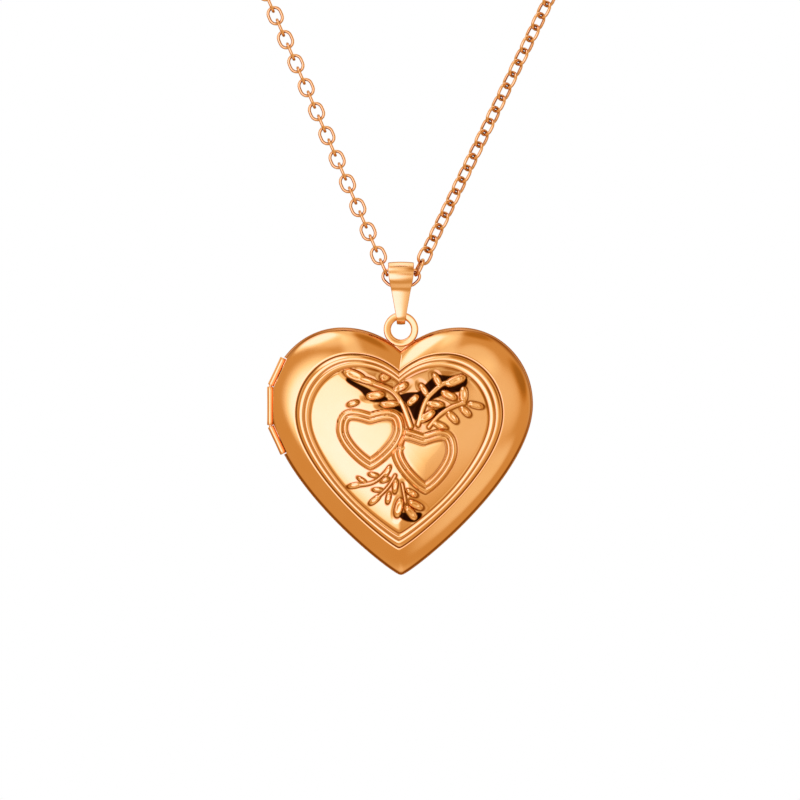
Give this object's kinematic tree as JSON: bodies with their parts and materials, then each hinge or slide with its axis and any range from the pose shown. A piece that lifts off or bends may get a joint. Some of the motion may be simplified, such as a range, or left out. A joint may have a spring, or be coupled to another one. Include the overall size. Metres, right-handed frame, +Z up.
{
  "type": "heart locket necklace",
  "caption": "Hinged heart locket with an embossed cover, hung by a loop and a tapered bail on a closed cable chain with a bolt ring clasp.",
  "frame": {"origin": "midway between the two points where the chain passes over the sides of the neck", "axes": "+Z up, +X to the viewer's right, locket's front towards -Y, nape towards +Y"},
  "size_m": [0.114, 0.0568, 0.1803],
  "materials": {
    "rose_gold": "polished",
    "chain_gold": "polished",
    "steel_spring": "satin",
    "clear_window": "clear"
  },
  "bodies": {
    "neck_chain": {"chain_back_left": "chain_gold", "chain_back_right": "chain_gold", "clasp_jump_ring": "rose_gold", "clasp_eye": "rose_gold", "clasp_tube": "rose_gold", "clasp_spring": "steel_spring", "chain_end_ring": "rose_gold"},
    "front_chain": {"chain_front_left": "chain_gold", "chain_front_right": "chain_gold"},
    "bail": {"bail": "rose_gold", "chain_links_in_bail": "chain_gold"},
    "locket_back": {"back_shell": "rose_gold", "catch_lip": "rose_gold", "hinge_knuckle_top": "rose_gold", "hinge_knuckle_bottom": "rose_gold", "hinge_pin": "rose_gold", "photo_frame_back": "rose_gold", "photo_window_back": "clear_window", "hanging_loop": "rose_gold"},
    "locket_cover": {"cover_shell": "rose_gold", "hinge_knuckle_middle": "rose_gold", "photo_frame_cover": "rose_gold", "photo_window_cover": "clear_window"},
    "clasp_bolt": {"clasp_bolt": "rose_gold", "clasp_thumb_stud": "rose_gold"}
  },
  "joints": [
    {"name": "front_swing", "type": "hinge", "parent": "neck_chain", "child": "front_chain", "pos_m": [0, 0, 0], "axis": [1, 0, 0], "range_deg": [-45, 10]},
    {"name": "bail_swing", "type": "hinge", "parent": "front_chain", "child": "bail", "pos_m": [-0.00304, 0, -0.11406], "axis": [1, 0, 0], "range_deg": [-40, 40]},
    {"name": "locket_sway", "type": "hinge", "parent": "bail", "child": "locket_back", "pos_m": [-0.00304, 0, -0.1202], "axis": [0, 1, 0], "range_deg": [-35, 35]},
    {"name": "cover_open", "type": "hinge", "parent": "locket_back", "child": "locket_cover", "pos_m": [-0.01734, 0, -0.12855], "axis": [0, 0, -1], "range_deg": [0, 160]},
    {"name": "clasp_bolt_slide", "type": "hinge", "parent": "neck_chain", "child": "clasp_bolt", "pos_m": [0.00091, 0.052, 0.03], "axis": [0, -1, 0], "range_deg": [0, 50], "stiffness_Nm_per_rad": 0.00002}
  ]
}
